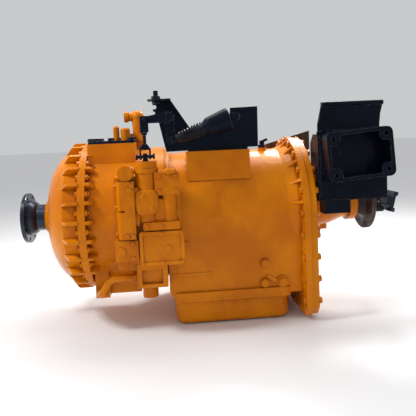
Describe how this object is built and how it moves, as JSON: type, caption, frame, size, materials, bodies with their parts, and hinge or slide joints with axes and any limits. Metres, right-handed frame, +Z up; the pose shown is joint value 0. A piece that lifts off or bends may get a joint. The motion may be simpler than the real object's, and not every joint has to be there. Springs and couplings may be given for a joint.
{
  "type": "planetary gearbox",
  "caption": "Off-highway powershift planetary gearbox with torque converter housing, side control valve, shift linkage, oil pan and jointed output shaft.",
  "frame": {"origin": "centre of the input flange's front face", "axes": "+X along the shaft to the output end, +Z up, control valve and linkage on the -Y side"},
  "size_m": [1.3876, 0.5682, 0.79],
  "materials": {
    "yellow_paint": "thick glossy machinery enamel over rough castings",
    "yellow_bolts": "painted over, worn on the corners",
    "black_paint": "semi-gloss black enamel with a blue sheen",
    "black_bolts": "black oxide",
    "brown_steel": "brown surface rust over machined steel",
    "bare_steel": "ground steel with an oil film",
    "cast_alloy": "cast aluminium",
    "friction_steel": "bronze-faced friction plates",
    "rubber": "moulded black rubber"
  },
  "bodies": {
    "case": {"converter_cover": "yellow_paint", "converter_housing": "yellow_paint", "converter_bolts": "yellow_bolts", "end_bolts": "yellow_bolts", "input_retainer": "yellow_paint", "input_seal": "rubber", "input_bearing": "bare_steel", "pto_cover": "black_paint", "pto_cover_bolts": "black_bolts", "top_fittings": "yellow_paint", "stator": "cast_alloy", "main_case": "yellow_paint", "case_plugs": "yellow_bolts", "oil_pan": "yellow_paint", "pan_bolts": "yellow_bolts", "oil_strainer": "bare_steel", "ring_gears": "bare_steel", "clutch_packs": "friction_steel", "rear_cover": "yellow_paint", "rear_cover_bolts": "yellow_bolts", "output_housing": "yellow_paint", "output_bearing": "bare_steel", "output_seal": "rubber", "valve_housing": "yellow_paint", "regulator_block": "yellow_paint", "range_valve_cover": "yellow_paint", "accumulator": "yellow_paint", "sump_block": "yellow_paint", "valve_bolts": "yellow_bolts", "oil_pipe": "yellow_paint", "linkage_bracket": "black_paint", "outer_fittings": "black_bolts", "pivot_pins": "black_bolts", "mount_bracket": "black_paint", "mount_box": "black_paint", "guard_sheet": "black_paint", "side_rail": "brown_steel"},
    "input": {"input_flange": "black_paint", "input_shaft": "bare_steel", "converter_pump_shell": "cast_alloy"},
    "turbine_set": {"turbine": "cast_alloy", "turbine_shaft": "bare_steel"},
    "carrier_1": {"planet_carrier_1": "bare_steel"},
    "planet_1a": {"planet_gear_1a": "bare_steel"},
    "planet_1b": {"planet_gear_1b": "bare_steel"},
    "planet_1c": {"planet_gear_1c": "bare_steel"},
    "output": {"output_shaft": "bare_steel", "output_flange": "brown_steel", "flange_yoke": "black_paint"},
    "planet_2a": {"planet_gear_2a": "bare_steel"},
    "planet_2b": {"planet_gear_2b": "bare_steel"},
    "planet_2c": {"planet_gear_2c": "bare_steel"},
    "cross": {"joint_cross": "bare_steel"},
    "yoke": {"loose_yoke": "black_paint"},
    "bellcrank": {"bellcrank": "black_paint"},
    "link": {"control_link": "black_paint"},
    "spool": {"selector_spool": "bare_steel"},
    "actuator": {"actuator_body": "black_paint", "actuator_boot": "rubber"},
    "rod": {"actuator_rod": "bare_steel"}
  },
  "joints": [
    {"name": "input_spin", "type": "hinge", "parent": "case", "child": "input", "pos_m": [0, 0, 0], "axis": [1, 0, 0], "continuous": true},
    {"name": "turbine_spin", "type": "hinge", "parent": "case", "child": "turbine_set", "pos_m": [0.6, 0, 0], "axis": [1, 0, 0], "continuous": true},
    {"name": "carrier_spin", "type": "hinge", "parent": "case", "child": "carrier_1", "pos_m": [0.65, 0, 0], "axis": [1, 0, 0], "continuous": true},
    {"name": "planet_1a_spin", "type": "hinge", "parent": "carrier_1", "child": "planet_1a", "pos_m": [0.62, 0, 0.1125], "axis": [1, 0, 0], "continuous": true},
    {"name": "planet_1b_spin", "type": "hinge", "parent": "carrier_1", "child": "planet_1b", "pos_m": [0.62, -0.09743, -0.05625], "axis": [1, 0, 0], "continuous": true},
    {"name": "planet_1c_spin", "type": "hinge", "parent": "carrier_1", "child": "planet_1c", "pos_m": [0.62, 0.09743, -0.05625], "axis": [1, 0, 0], "continuous": true},
    {"name": "output_spin", "type": "hinge", "parent": "case", "child": "output", "pos_m": [1, 0, 0], "axis": [1, 0, 0], "continuous": true},
    {"name": "planet_2a_spin", "type": "hinge", "parent": "output", "child": "planet_2a", "pos_m": [0.782, 0, 0.105], "axis": [1, 0, 0], "continuous": true},
    {"name": "planet_2b_spin", "type": "hinge", "parent": "output", "child": "planet_2b", "pos_m": [0.782, -0.09093, -0.0525], "axis": [1, 0, 0], "continuous": true},
    {"name": "planet_2c_spin", "type": "hinge", "parent": "output", "child": "planet_2c", "pos_m": [0.782, 0.09093, -0.0525], "axis": [1, 0, 0], "continuous": true},
    {"name": "cross_tilt", "type": "hinge", "parent": "output", "child": "cross", "pos_m": [1.318, 0, 0], "axis": [0, 0, 1], "range_deg": [-20, 20]},
    {"name": "yoke_tilt", "type": "hinge", "parent": "cross", "child": "yoke", "pos_m": [1.318, 0, 0], "axis": [0, 1, 0], "range_deg": [-34, 6]},
    {"name": "bellcrank_swing", "type": "hinge", "parent": "case", "child": "bellcrank", "pos_m": [0.53, -0.2, 0.334], "axis": [0, 1, 0], "range_deg": [0, 14]},
    {"name": "link_pivot", "type": "hinge", "parent": "bellcrank", "child": "link", "pos_m": [0.451, -0.256, 0.326], "axis": [0, 1, 0], "range_deg": [-14.1, 0.1]},
    {"name": "spool_slide", "type": "slide", "parent": "case", "child": "spool", "axis": [0, 0, 1], "range_m": [-0.0001, 0.0195]},
    {"name": "actuator_swing", "type": "hinge", "parent": "case", "child": "actuator", "pos_m": [0.748, -0.205, 0.329], "axis": [0, 1, 0], "range_deg": [-0.1, 1.8]},
    {"name": "rod_slide", "type": "slide", "parent": "actuator", "child": "rod", "axis": [-0.9496, 0, -0.3136], "range_m": [-0.0001, 0.0173]}
  ],
  "couplings": [
    {"joint": "carrier_spin", "follows": "turbine_spin", "ratio": 0.33333},
    {"joint": "output_spin", "follows": "turbine_spin", "ratio": 0.095238},
    {"joint": "planet_1a_spin", "follows": "turbine_spin", "ratio": -1.3333},
    {"joint": "planet_2a_spin", "follows": "turbine_spin", "ratio": -0.31746},
    {"joint": "planet_1b_spin", "follows": "turbine_spin", "ratio": -1.3333},
    {"joint": "planet_2b_spin", "follows": "turbine_spin", "ratio": -0.31746},
    {"joint": "planet_1c_spin", "follows": "turbine_spin", "ratio": -1.3333},
    {"joint": "planet_2c_spin", "follows": "turbine_spin", "ratio": -0.31746},
    {"joint": "link_pivot", "follows": "bellcrank_swing", "ratio": -1},
    {"joint": "spool_slide", "follows": "bellcrank_swing", "m_per_rad": 0.07919},
    {"joint": "actuator_swing", "follows": "bellcrank_swing", "ratio": 0.12179},
    {"joint": "rod_slide", "follows": "bellcrank_swing", "m_per_rad": 0.070273}
  ]
}
